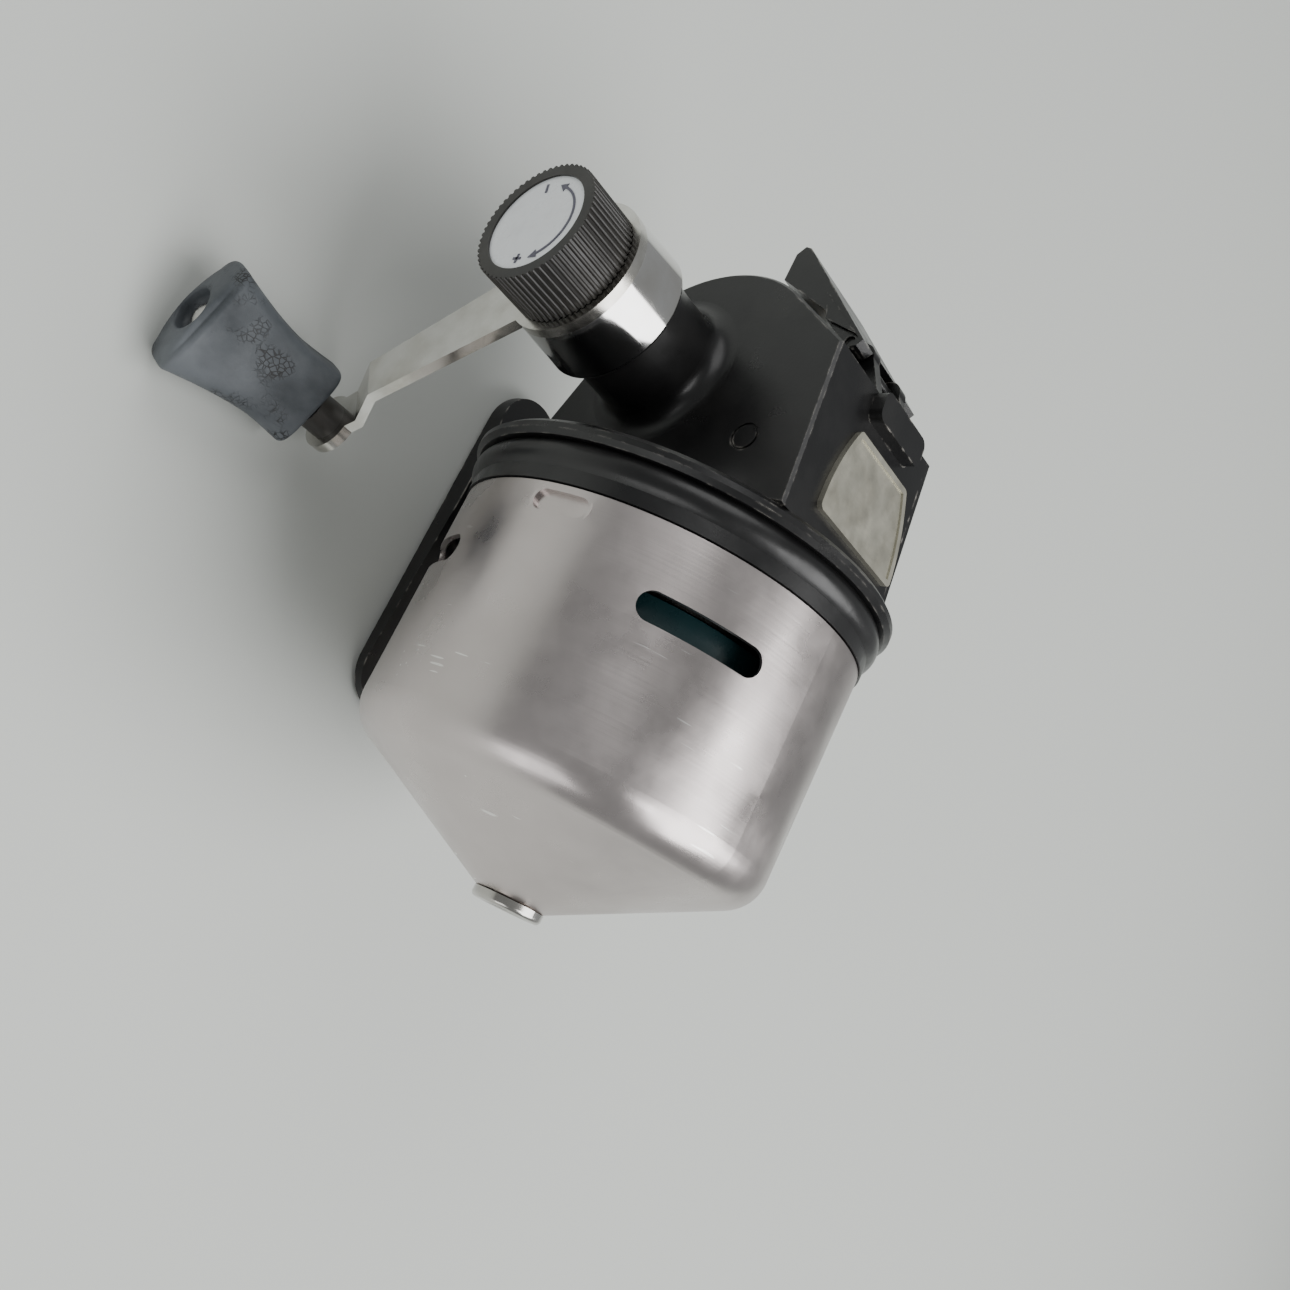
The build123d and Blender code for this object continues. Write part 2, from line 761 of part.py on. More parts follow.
# crank: shaft, crown gear, drag stack, sleeve, arm and spindle
with BuildPart() as crank_shaft:
    with BuildSketch(turn_plane):
        Polygon(
            (0, gear_face_y),
            (crank_stub_radius, gear_face_y),
            (crank_stub_radius, gear_back_y),
            (crank_shaft_radius, gear_back_y),
            (crank_shaft_radius, washers_start_y),
            (crank_arbor_radius, washers_start_y),
            (crank_arbor_radius, arm_outer_y),
            (crank_stud_radius, arm_outer_y),
            (crank_stud_radius, stud_end_y),
            (0, stud_end_y),
            align=None,
        )
    revolve(axis=crank_axis)
save(crank_shaft.part, "crank_shaft")

with BuildPart() as drive_gear:
    with BuildSketch(crank_plane(gear_root_y)):
        Circle(gear_outer_radius)
        Circle(crank_stub_radius, mode=Mode.SUBTRACT)
    extrude(amount=gear_web)
    for number in range(gear_teeth):
        turn = radians(number * 360 / gear_teeth)
        tooth_plane = Plane(
            origin=(crank_x, gear_root_y, crank_z),
            x_dir=(-sin(turn), 0, cos(turn)),
            z_dir=(cos(turn), 0, sin(turn)),
        )
        with BuildSketch(tooth_plane.offset(gear_radius - gear_face / 2)):
            Polygon(
                (crank_drop - tooth_root / 2, gear_sink),
                (crank_drop + tooth_root / 2, gear_sink),
                (crank_drop + tooth_tip / 2, -tooth_height),
                (crank_drop - tooth_tip / 2, -tooth_height),
                align=None,
            )
        extrude(amount=gear_face - gear_inset)
save(drive_gear.part, "drive_gear")

save(tube(crank_plane(gear_back_y - loose_gap), boss_bore_radius, crank_bore, spacer_length), "crank_spacer")
save(tube(crank_plane(washers_start_y - washer_thickness), washer_radius, crank_arbor_radius, washer_thickness), "drag_plate")

with BuildPart() as drag_washers:
    for start in (washers_start_y, washers_start_y - 2 * washer_thickness):
        with BuildSketch(crank_plane(start)):
            Circle(washer_radius)
            Circle(crank_arbor_radius, mode=Mode.SUBTRACT)
        extrude(amount=washer_thickness)
save(drag_washers.part, "drag_washers")

with BuildPart() as drag_sleeve:
    with BuildSketch(turn_plane):
        Polygon(
            (crank_arbor_radius, washers_end_y),
            (boss_radius + loose_gap, washers_end_y),
            (boss_radius + loose_gap, sleeve_mouth_y),
            (sleeve_mouth_radius, sleeve_mouth_y),
            (sleeve_end_radius, sleeve_end_y),
            (crank_arbor_radius, sleeve_end_y),
            align=None,
        )
    revolve(axis=crank_axis)
    fillet(drag_sleeve.edges().filter_by(GeomType.CIRCLE).sort_by(Axis.Y)[-1], sleeve_round)
save(drag_sleeve.part, "drag_sleeve")

with BuildPart() as crank_arm:
    with BuildSketch(arm_side_plane):
        Polygon(
            (-arm_hub_radius, sleeve_end_y),
            (arm_bend_start, sleeve_end_y),
            (arm_bend_end, tab_inner_y),
            (arm_reach + arm_tip_radius, tab_inner_y),
            (arm_reach + arm_tip_radius, tab_outer_y),
            (arm_bend_end, tab_outer_y),
            (arm_bend_start, arm_outer_y),
            (-arm_hub_radius, arm_outer_y),
            align=None,
        )
    extrude(amount=arm_hub_radius, both=True)
    with BuildSketch(arm_plane(0)):
        Circle(arm_hub_radius)
        Polygon(
            (0, -arm_root_width / 2),
            (arm_reach, -arm_tip_width / 2),
            (arm_reach, arm_tip_width / 2),
            (0, arm_root_width / 2),
            align=None,
        )
        with Locations((arm_reach, 0)):
            Circle(arm_tip_radius)
            Circle(spindle_radius, mode=Mode.SUBTRACT)
        Circle(crank_arbor_radius, mode=Mode.SUBTRACT)
    extrude(amount=-arm_outer_y + arm_thickness, mode=Mode.INTERSECT)
save(crank_arm.part, "crank_arm")

with BuildPart() as drag_spring:
    with BuildSketch(turn_plane):
        Polygon(
            (crank_stud_radius + loose_gap, arm_outer_y - spring_cone),
            (crank_stud_radius + loose_gap, arm_outer_y - spring_cone - spring_leaf),
            (spring_cone_radius, arm_outer_y - spring_leaf),
            (spring_cone_radius, arm_outer_y),
            align=None,
        )
    revolve(axis=crank_axis)
save(drag_spring.part, "drag_spring")

head_middle = dome_middle(spindle_head_radius, spindle_head_height)
with BuildPart() as grip_spindle:
    with BuildSketch(spindle_plane):
        with BuildLine():
            Polyline((0, spindle_outer_y), (0, tab_inner_y + spindle_head_height))
            ThreePointArc(
                (0, tab_inner_y + spindle_head_height),
                (head_middle[0], tab_inner_y + head_middle[1]),
                (spindle_head_radius, tab_inner_y),
            )
            Polyline(
                (spindle_head_radius, tab_inner_y),
                (spindle_radius, tab_inner_y),
                (spindle_radius, rivet_base_y),
                (spindle_head_radius, rivet_base_y),
            )
            ThreePointArc(
                (spindle_head_radius, rivet_base_y),
                (head_middle[0], rivet_base_y - head_middle[1]),
                (0, spindle_outer_y),
            )
        make_face()
    revolve(axis=grip_axis)
save(grip_spindle.part, "grip_spindle")
save(tube(grip_plane(tab_outer_y), collar_radius, spindle_radius, collar_length), "grip_collar")

# drag knob: ribbed cap with its dial label
with BuildPart() as drag_knob:
    with BuildSketch(crank_plane(knob_rim_y)):
        Circle(knob_radius)
        with PolarLocations(knob_radius, knob_ribs):
            Circle(knob_rib_radius)
    extrude(amount=knob_rim_y - knob_face_y)
    with Locations(crank_plane(knob_rim_y)):
        Cylinder(knob_recess_radius, 2 * knob_recess_depth, mode=Mode.SUBTRACT)
    with BuildSketch(crank_plane(knob_rim_y)):
        Circle(crank_stud_radius + running_gap)
    extrude(amount=knob_rim_y - stud_end_y + loose_gap, mode=Mode.SUBTRACT)
    with BuildSketch(crank_plane(knob_face_y)):
        Circle(label_radius)
    extrude(amount=-label_thickness - label_inset, mode=Mode.SUBTRACT)
save(drag_knob.part, "drag_knob")
label_plane = crank_plane(knob_face_y + label_thickness + label_inset)
save(tube(label_plane, label_radius, 0, label_thickness), "dial_label")

# paddle grip
with BuildPart() as grip:
    for y, width, thickness in grip_sections:
        with BuildSketch(grip_plane(y)):
            RectangleRounded(width, thickness, thickness * 0.42)
    loft()
    fillet(grip.faces().filter_by(Axis.Y).edges(), grip_round)
    with BuildSketch(grip_plane(grip_outer_y)):
        Circle(grip_recess_radius)
    extrude(amount=-grip_recess_depth, mode=Mode.SUBTRACT)
    with BuildSketch(grip_plane(grip_inner_y)):
        Circle(spindle_radius + running_gap)
    extrude(amount=grip_inner_y - grip_outer_y, mode=Mode.SUBTRACT)
save(grip.part, "grip")

# thumb lever: wedge-shaped thumb pad with a tongue that reaches the thrust button
with BuildPart() as thumb_lever:
    with BuildSketch(side_plane(0)) as lever_profile:
        with BuildLine():
            Polyline(
                (lever_tip_x + lever_tip_round, lever_tip_z),
                (tongue_rear_x, lever_tip_z),
                (pivot_x - 5.3, pivot_z - 6.7),
                (pivot_x - 1.9, pivot_z - 3.5),
                (pivot_x + 1.0, pivot_z - 0.7),
                (pivot_x + 0.6, pivot_z + 1.3),
                (pivot_x - 0.4, pivot_z + 2.1),
                (lever_tip_x, lever_tip_z + 2 * lever_tip_round),
                (lever_tip_x - 0.3, lever_tip_z + lever_tip_round),
                close=True,
            )
        make_face()
    extrude(amount=lever_width / 2, both=True)
    with BuildSketch(side_plane(0)):
        Polygon(
            (tongue_front_x - tongue_thickness, lever_tip_z + 4),
            (tongue_front_x - tongue_thickness, tongue_bottom_z),
            (tongue_front_x, tongue_bottom_z),
            (tongue_front_x, lever_tip_z + 4),
            align=None,
        )
    extrude(amount=tongue_width / 2, both=True)
    with BuildSketch(side_plane(0)):
        Polygon(
            (pivot_x - 8.0, pivot_z - 7.3),
            (pivot_x - 3.4, pivot_z - 5.4),
            (pivot_x - 1.0, pivot_z + 0.8),
            align=None,
        )
    extrude(amount=lever_width / 2 + cheek_pad_height, both=True)
    pivot_plane = Plane(origin=(pivot_x, 0, axis_height + pivot_z), z_dir=(0, 1, 0))
    with Locations(pivot_plane):
        Cylinder(lug_ear_radius + 1, 2 * (ear_outer_y + loose_gap), mode=Mode.SUBTRACT)
        Cylinder(pivot_pin_radius + running_gap, 2 * lever_width, mode=Mode.SUBTRACT)
save(thumb_lever.part, "thumb_lever")

# thrust button: domed rear end, socket for the shaft
button_middle = dome_middle(button_radius, button_dome)
with BuildPart() as thrust_button:
    with BuildSketch(side_plane(0)):
        with BuildLine():
            Polyline(
                (shaft_rear_x - loose_gap, 0),
                (shaft_rear_x - loose_gap, shaft_bore),
                (button_front_x, shaft_bore),
                (button_front_x, button_radius),
                (button_flange_x + 1, button_radius),
                (button_flange_x + 1, button_flange_radius),
                (button_flange_x, button_flange_radius),
                (button_flange_x, button_radius),
                (button_rear_x + button_dome, button_radius),
            )
            ThreePointArc(
                (button_rear_x + button_dome, button_radius),
                (button_rear_x + button_dome - button_middle[1], button_middle[0]),
                (button_rear_x, 0),
            )
            Line((button_rear_x, 0), (shaft_rear_x - loose_gap, 0))
        make_face()
    revolve(axis=reel_axis)
save(thrust_button.part, "thrust_button")

# rotor: centre shaft, spinner head, nut, spring collar and return spring
save(tube(cross_plane(shaft_rear_x), shaft_radius, 0, shaft_front_x - shaft_rear_x), "centre_shaft")
collar_plane = cross_plane(spring_rear_x - spring_collar_thickness)
save(tube(collar_plane, spring_collar_radius, shaft_radius, spring_collar_thickness), "spring_collar")

with BuildPart() as rotor_nut:
    with BuildSketch(cross_plane(rotor_hub_front_x)):
        RegularPolygon(nut_across / 2, 6, major_radius=False)
        Circle(shaft_radius, mode=Mode.SUBTRACT)
    extrude(amount=nut_height)
save(rotor_nut.part, "rotor_nut")

with BuildPart() as spinner_head:
    with BuildSketch(side_plane(0)):
        Polygon(
            (rotor_rear_x, rotor_radius - rotor_wall),
            (rotor_rear_x, rotor_radius),
            (rotor_front_x, rotor_radius),
            (rotor_front_x, rotor_hub_radius),
            (rotor_hub_front_x, rotor_hub_radius),
            (rotor_hub_front_x, shaft_radius),
            (rotor_hub_rear_x, shaft_radius),
            (rotor_hub_rear_x, rotor_hub_radius),
            (rotor_front_x - rotor_disc, rotor_hub_radius),
            (rotor_front_x - rotor_disc, rotor_radius - rotor_wall),
            align=None,
        )
    revolve(axis=reel_axis)
    with BuildSketch(outward_plane(0, pin_x, pin_guide_radius)):
        Rectangle(pin_guide, pin_guide)
    extrude(amount=rotor_radius - rotor_wall / 2 - pin_guide_radius)
    with BuildSketch(outward_plane(0, pin_x, pin_guide_radius)):
        Circle(pin_radius + running_gap)
    extrude(amount=rotor_radius, mode=Mode.SUBTRACT)
save(spinner_head.part, "spinner_head")
pin_start = outward_plane(0, pin_x, pin_root_radius)
save(tube(pin_start, pin_radius, 0, pin_tip_radius - pin_root_radius), "pickup_pin")

with BuildPart() as return_spring:
    with BuildLine():
        coil = Helix(spring_length / spring_turns, spring_length, spring_radius)
    with BuildSketch(Plane(origin=coil @ 0, z_dir=coil % 0)):
        Circle(spring_wire)
    sweep(is_frenet=True)
spring_place = cross_plane(spring_rear_x + spring_wire + running_gap)
save(return_spring.part.moved(spring_place.location), "return_spring")

# pinion with its journal, bored for the sliding shaft
with BuildPart() as pinion:
    with BuildSketch(cross_plane(pinion_rear_x)):
        Circle(pinion_radius - tooth_dedendum)
        with PolarLocations(0, pinion_teeth, start_angle=180 / pinion_teeth):
            Polygon(
                (pinion_radius - tooth_dedendum - gear_sink, -tooth_root / 2),
                (pinion_radius + tooth_addendum, -tooth_tip / 2),
                (pinion_radius + tooth_addendum, tooth_tip / 2),
                (pinion_radius - tooth_dedendum - gear_sink, tooth_root / 2),
                align=None,
            )
    extrude(amount=pinion_length)
    with BuildSketch(cross_plane(pinion_rear_x)):
        Circle(journal_radius)
    extrude(amount=journal_front_x - pinion_rear_x)
    with BuildSketch(cross_plane(pinion_rear_x)):
        Circle(shaft_bore)
    extrude(amount=journal_front_x - pinion_rear_x, mode=Mode.SUBTRACT)
save(pinion.part, "pinion")
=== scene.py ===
from math import radians
import bmesh
import bpy
import numpy as np
from mathutils import Matrix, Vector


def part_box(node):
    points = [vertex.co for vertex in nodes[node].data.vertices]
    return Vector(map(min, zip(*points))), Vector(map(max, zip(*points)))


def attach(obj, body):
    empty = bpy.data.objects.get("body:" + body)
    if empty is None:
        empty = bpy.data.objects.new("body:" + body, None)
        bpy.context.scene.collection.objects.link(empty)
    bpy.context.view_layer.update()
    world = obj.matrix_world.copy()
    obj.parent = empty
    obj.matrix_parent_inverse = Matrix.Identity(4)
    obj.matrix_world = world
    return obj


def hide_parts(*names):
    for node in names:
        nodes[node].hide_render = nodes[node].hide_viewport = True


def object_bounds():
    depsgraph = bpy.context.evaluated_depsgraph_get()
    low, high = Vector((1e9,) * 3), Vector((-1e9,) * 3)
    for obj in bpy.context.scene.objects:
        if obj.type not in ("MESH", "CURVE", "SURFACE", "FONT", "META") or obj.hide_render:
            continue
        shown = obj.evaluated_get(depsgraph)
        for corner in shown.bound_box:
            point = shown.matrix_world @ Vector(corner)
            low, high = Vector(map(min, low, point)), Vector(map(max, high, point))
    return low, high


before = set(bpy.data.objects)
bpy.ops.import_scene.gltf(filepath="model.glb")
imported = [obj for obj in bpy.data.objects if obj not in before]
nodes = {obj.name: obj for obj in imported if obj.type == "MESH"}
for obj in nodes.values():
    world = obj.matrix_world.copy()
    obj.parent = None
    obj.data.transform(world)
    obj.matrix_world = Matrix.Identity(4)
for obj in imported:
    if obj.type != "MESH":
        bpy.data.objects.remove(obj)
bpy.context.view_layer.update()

view = {
    "place": (0.0557, -0.1388, 0.1756),   # metres, in the part's own frame
    "right": (-0.426, 0.529, 0.734),
    "up": (-0.871, -0.460, -0.174),
    "lens": 37.9,
    "sensor": 36.0,
    "clipStart": 0.005,
}


def unit(vector):
    vector = np.asarray(vector, float)
    return vector / np.linalg.norm(vector)


# Turn matrix with three axes as its columns and a place as its last column.
def turnMatrix(xAxis, yAxis, zAxis, place):
    turn = np.eye(4)
    turn[:3, 0], turn[:3, 1], turn[:3, 2], turn[:3, 3] = xAxis, yAxis, zAxis, place
    return Matrix(turn.tolist())


# Up loses its share along right, so that the two are square, and back is their cross product.
def makeCamera():
    right = unit(view["right"])
    up = np.asarray(view["up"], float)
    up = unit(up - right * up.dot(right))
    data = bpy.data.cameras.new("camera")
    data.lens = view["lens"]
    data.sensor_width = view["sensor"]
    data.clip_start = view["clipStart"]
    camera = bpy.data.objects.new("camera", data)
    bpy.context.collection.objects.link(camera)
    camera.matrix_world = turnMatrix(right, up, np.cross(right, up), view["place"])
    bpy.context.scene.camera = camera
    print("camera ready")


# Material helpers: each adds nodes to a tree and gives back the socket that the next one reads.

def newMaterial(name):
    material = bpy.data.materials.new(name)
    material.use_nodes = True
    tree = material.node_tree
    return material, tree, tree.nodes["Principled BSDF"]


# Object coordinates times stretch.
def objectPoint(tree, stretch):
    point = tree.nodes.new("ShaderNodeTexCoord")
    mapping = tree.nodes.new("ShaderNodeMapping")
    mapping.inputs["Scale"].default_value = stretch
    tree.links.new(point.outputs["Object"], mapping.inputs["Vector"])
    return mapping.outputs["Vector"]


def noise(tree, scale, detail, stretch=(1, 1, 1)):
    node = tree.nodes.new("ShaderNodeTexNoise")
    node.inputs["Scale"].default_value = scale
    node.inputs["Detail"].default_value = detail
    node.inputs["Roughness"].default_value = 0.55   # how strongly the finer octaves show
    tree.links.new(objectPoint(tree, stretch), node.inputs["Vector"])
    return node.outputs["Fac"]


# Distance to the nearest cell edge, or to the nearest cell middle for the feature F1.
def cells(tree, scale, stretch=(1, 1, 1), feature="DISTANCE_TO_EDGE"):
    node = tree.nodes.new("ShaderNodeTexVoronoi")
    node.feature = feature
    node.inputs["Scale"].default_value = scale
    tree.links.new(objectPoint(tree, stretch), node.inputs["Vector"])
    return node.outputs["Distance"]


# Straight line from the span's two ends to the result's two ends, held at both.
def remap(tree, value, span, result=(0.0, 1.0)):
    node = tree.nodes.new("ShaderNodeMapRange")
    tree.links.new(value, node.inputs["Value"])
    for socket, number in zip(("From Min", "From Max", "To Min", "To Max"), (*span, *result)):
        node.inputs[socket].default_value = number
    return node.outputs["Result"]


# Noise remapped: below the span there is none of it, above the span all of it.
def clouds(tree, scale, detail, span, result=(0.0, 1.0), stretch=(1, 1, 1)):
    return remap(tree, noise(tree, scale, detail, stretch), span, result)


def combine(tree, kind, first, second):
    node = tree.nodes.new("ShaderNodeMath")
    node.operation = kind
    node.use_clamp = True
    for socket, value in zip(node.inputs, (first, second)):
        tree.links.new(value, socket)
    return node.outputs["Value"]


# Linear mix of two colours by amount; the first may be a socket instead of a colour.
def blendColours(tree, amount, first, second):
    node = tree.nodes.new("ShaderNodeMix")
    node.data_type = "RGBA"
    tree.links.new(amount, node.inputs[0])
    if isinstance(first, tuple):
        node.inputs[6].default_value = (*first, 1.0)
    else:
        tree.links.new(first, node.inputs[6])
    node.inputs[7].default_value = (*second, 1.0)
    return node.outputs[2]


def bump(tree, shader, height, strength, distance):
    node = tree.nodes.new("ShaderNodeBump")
    node.inputs["Strength"].default_value = strength
    node.inputs["Distance"].default_value = distance
    tree.links.new(height, node.inputs["Height"])
    tree.links.new(node.outputs["Normal"], shader.inputs["Normal"])


edge = {
    "samples": 6,
    "cosine": (0.80, 0.985),   # below the first it is all edge, above the second none
}


# Cosine between the true normal and one rounded over a radius, turned round so that 1 is an edge.
def edgeMask(tree, radius):
    bevel = tree.nodes.new("ShaderNodeBevel")
    bevel.samples = edge["samples"]
    bevel.inputs["Radius"].default_value = radius
    geometry = tree.nodes.new("ShaderNodeNewGeometry")
    dot = tree.nodes.new("ShaderNodeVectorMath")
    dot.operation = "DOT_PRODUCT"
    tree.links.new(bevel.outputs["Normal"], dot.inputs[0])
    tree.links.new(geometry.outputs["Normal"], dot.inputs[1])
    return remap(tree, dot.outputs["Value"], edge["cosine"], (1.0, 0.0))


middle = (0.3, 0.7)   # the span of noise that roughness follows

coverFinish = {
    "colour": (0.60, 0.55, 0.54), "stain": (0.52, 0.475, 0.46), "scratch": (0.80, 0.78, 0.76),
    "stainScale": 45.0, "stainSpan": (0.35, 0.75),
    "scratchScale": 60, "scratchStretch": (22, 1.2, 2.0), "scratchSpan": (0.70, 0.72),
    "scratchPatchScale": 90, "scratchPatchSpan": (0.5, 0.56),
    "nickScale": 900, "nickSpan": (0.16, 0.10), "nickPatchScale": 55, "nickPatchSpan": (0.64, 0.68),
    "roughness": (0.24, 0.38), "roughnessScale": 130, "anisotropy": 0.35,
    "ringStretch": (2600.0, 40, 40), "ringBump": 0.05, "ringDepth": 0.0002,
}


# Spun satin metal: fine rings along X, broad stains, scratches where two noises peak together,
# nicks at cell middles where a coarse noise is high.
def satinCover():
    finish = coverFinish
    material, tree, shader = newMaterial("satin_cover")
    stain = clouds(tree, finish["stainScale"], 5, finish["stainSpan"])
    base = blendColours(tree, stain, finish["colour"], finish["stain"])
    line = clouds(tree, finish["scratchScale"], 2, finish["scratchSpan"], stretch=finish["scratchStretch"])
    linePatch = clouds(tree, finish["scratchPatchScale"], 2, finish["scratchPatchSpan"])
    scratch = combine(tree, "MULTIPLY", line, linePatch)
    spot = remap(tree, cells(tree, finish["nickScale"], feature="F1"), finish["nickSpan"])
    spotPatch = clouds(tree, finish["nickPatchScale"], 2, finish["nickPatchSpan"])
    marks = combine(tree, "MAXIMUM", scratch, combine(tree, "MULTIPLY", spot, spotPatch))
    tree.links.new(blendColours(tree, marks, base, finish["scratch"]), shader.inputs["Base Color"])
    shader.inputs["Metallic"].default_value = 1.0
    shader.inputs["Anisotropic"].default_value = finish["anisotropy"]
    roughness = clouds(tree, finish["roughnessScale"], 4, middle, finish["roughness"])
    tree.links.new(roughness, shader.inputs["Roughness"])
    rings = noise(tree, 1.0, 3, finish["ringStretch"])
    bump(tree, shader, rings, finish["ringBump"], finish["ringDepth"])
    return material


paintFinish = {
    "colour": (0.005, 0.005, 0.0055), "dust": (0.016, 0.0155, 0.015), "bare": (0.36, 0.34, 0.31),
    "dustScale": 70, "dustSpan": (0.48, 0.8),
    "wearRadius": 0.0005, "wearScale": 420, "wearSpan": (0.50, 0.66),
    "roughness": (0.26, 0.40), "roughnessScale": 160,
    "grainScale": 1800.0, "grainBump": 0.10, "grainDepth": 0.0001,
}


# Satin black paint: dust in broad patches, bare flecks where an edge meets coarse noise, fine peel.
def blackPaint():
    finish = paintFinish
    material, tree, shader = newMaterial("black_paint")
    dust = clouds(tree, finish["dustScale"], 6, finish["dustSpan"])
    base = blendColours(tree, dust, finish["colour"], finish["dust"])
    rim = edgeMask(tree, finish["wearRadius"])
    flecks = combine(tree, "MULTIPLY", rim, clouds(tree, finish["wearScale"], 6, finish["wearSpan"]))
    tree.links.new(blendColours(tree, flecks, base, finish["bare"]), shader.inputs["Base Color"])
    roughness = clouds(tree, finish["roughnessScale"], 5, middle, finish["roughness"])
    tree.links.new(roughness, shader.inputs["Roughness"])
    bump(tree, shader, noise(tree, finish["grainScale"], 2), finish["grainBump"], finish["grainDepth"])
    return material


platedFinish = {
    "tarnishSpan": (0.4, 0.7), "roughnessShare": 2.1, "rippleShare": 6, "rippleDepth": 0.0001,
    "plain_steel": {"colour": (0.60, 0.59, 0.57), "tarnish": (0.44, 0.42, 0.39),
                    "roughness": (0.16, 0.32), "scale": 120.0, "ripple": 0.04},
    "bright_chrome": {"colour": (0.80, 0.80, 0.80), "tarnish": (0.66, 0.64, 0.61),
                      "roughness": (0.04, 0.12), "scale": 90, "ripple": 0.02},
    "nickel_plate": {"colour": (0.70, 0.69, 0.66), "tarnish": (0.52, 0.50, 0.45),
                     "roughness": (0.12, 0.28), "scale": 160, "ripple": 0.03},
    "turned_brass": {"colour": (0.72, 0.53, 0.26), "tarnish": (0.50, 0.36, 0.17),
                     "roughness": (0.2, 0.35), "scale": 120.0, "ripple": 0.04},
}


# Bare or plated metal: tarnish clouds between two colours, finer ones for roughness, faint ripples.
def plated(name):
    shared, finish = platedFinish, platedFinish[name]
    scale = finish["scale"]
    material, tree, shader = newMaterial(name)
    tarnish = clouds(tree, scale, 6, shared["tarnishSpan"])
    colour = blendColours(tree, tarnish, finish["colour"], finish["tarnish"])
    tree.links.new(colour, shader.inputs["Base Color"])
    shader.inputs["Metallic"].default_value = 1.0
    roughness = clouds(tree, scale * shared["roughnessShare"], 5, middle, finish["roughness"])
    tree.links.new(roughness, shader.inputs["Roughness"])
    ripples = noise(tree, scale * shared["rippleShare"], 3)
    bump(tree, shader, ripples, finish["ripple"], shared["rippleDepth"])
    return material


mouldedFinish = {
    "wearScale": 300, "wearSpan": (0.4, 0.62), "spreadScale": 80, "spreadSpan": (0.35, 0.75), "spread": 0.25,
    "roughnessScale": 200, "grainScale": 900.0, "grainBump": 0.15, "grainDepth": 0.0001,
    "ring_rubber": {"colour": (0.006, 0.006, 0.0065), "worn": (0.035, 0.034, 0.033),
                    "roughness": (0.24, 0.4), "wearRadius": 0.0006, "wear": 0.3},
    "knob_plastic": {"colour": (0.007, 0.0065, 0.006), "worn": (0.085, 0.075, 0.062),
                     "roughness": (0.34, 0.5), "wearRadius": 0.00015, "wear": 0.35},
    "rotor_coating": {"colour": (0.010, 0.035, 0.040), "worn": (0.03, 0.09, 0.10),
                      "roughness": (0.22, 0.35), "wearRadius": 0.0004, "wear": 0.5},
    "oiled_fibre": {"colour": (0.24, 0.15, 0.09), "worn": (0.34, 0.23, 0.14),
                    "roughness": (0.6, 0.8), "wearRadius": 0.0004, "wear": 0.5},
}


# Moulded piece: lighter where an edge meets coarse noise and in broad patches, with a fine grain.
def moulded(name):
    shared, finish = mouldedFinish, mouldedFinish[name]
    material, tree, shader = newMaterial(name)
    rubbed = clouds(tree, shared["wearScale"], 5, shared["wearSpan"], (0, finish["wear"]))
    rim = combine(tree, "MULTIPLY", edgeMask(tree, finish["wearRadius"]), rubbed)
    spread = clouds(tree, shared["spreadScale"], 6, shared["spreadSpan"], (0.0, shared["spread"]))
    worn = combine(tree, "MAXIMUM", rim, spread)
    tree.links.new(blendColours(tree, worn, finish["colour"], finish["worn"]), shader.inputs["Base Color"])
    roughness = clouds(tree, shared["roughnessScale"], 4, middle, finish["roughness"])
    tree.links.new(roughness, shader.inputs["Roughness"])
    bump(tree, shader, noise(tree, shared["grainScale"], 3), shared["grainBump"], shared["grainDepth"])
    return material


gripFinish = {
    "colour": (0.030, 0.036, 0.042), "worn": (0.12, 0.132, 0.145), "crack": (0.012, 0.012, 0.013),
    "wornScale": 75, "wornStretch": (1, 0.6, 1), "wornSpan": (0.38, 0.66),
    "crackScale": 1500.0, "crackStretch": (1, 0.8, 1), "crackSpan": (0.03, 0.12),
    "crackPatchScale": 130, "crackPatchSpan": (0.54, 0.62),
    "roughness": (0.45, 0.68), "roughnessScale": 160,
    "grainScale": 500, "grainBump": 0.5, "grainDepth": 0.0002,
}


# Aged rubber: broad grey wear, and cracks along fine cell edges where a coarse noise is high.
def crackedRubber():
    finish = gripFinish
    material, tree, shader = newMaterial("cracked_rubber")
    worn = clouds(tree, finish["wornScale"], 6, finish["wornSpan"], stretch=finish["wornStretch"])
    base = blendColours(tree, worn, finish["colour"], finish["worn"])
    line = cells(tree, finish["crackScale"], finish["crackStretch"])
    patch = clouds(tree, finish["crackPatchScale"], 5, finish["crackPatchSpan"])
    crack = combine(tree, "MULTIPLY", remap(tree, line, finish["crackSpan"], (1.0, 0.0)), patch)
    tree.links.new(blendColours(tree, crack, base, finish["crack"]), shader.inputs["Base Color"])
    roughness = clouds(tree, finish["roughnessScale"], 4, middle, finish["roughness"])
    tree.links.new(roughness, shader.inputs["Roughness"])
    height = combine(tree, "SUBTRACT", noise(tree, finish["grainScale"], 5), crack)
    bump(tree, shader, height, finish["grainBump"], finish["grainDepth"])
    return material


plateFinish = {
    "colour": (0.50, 0.485, 0.41), "stain": (0.36, 0.34, 0.28),
    "stainScale": 240, "stainSpan": (0.45, 0.72), "stainMost": 0.7, "metal": 0.85,
    "roughness": (0.34, 0.52), "roughnessScale": 300,
    "lineStretch": (3200, 300, 300), "lineBump": 0.12, "lineDepth": 0.0001,
}


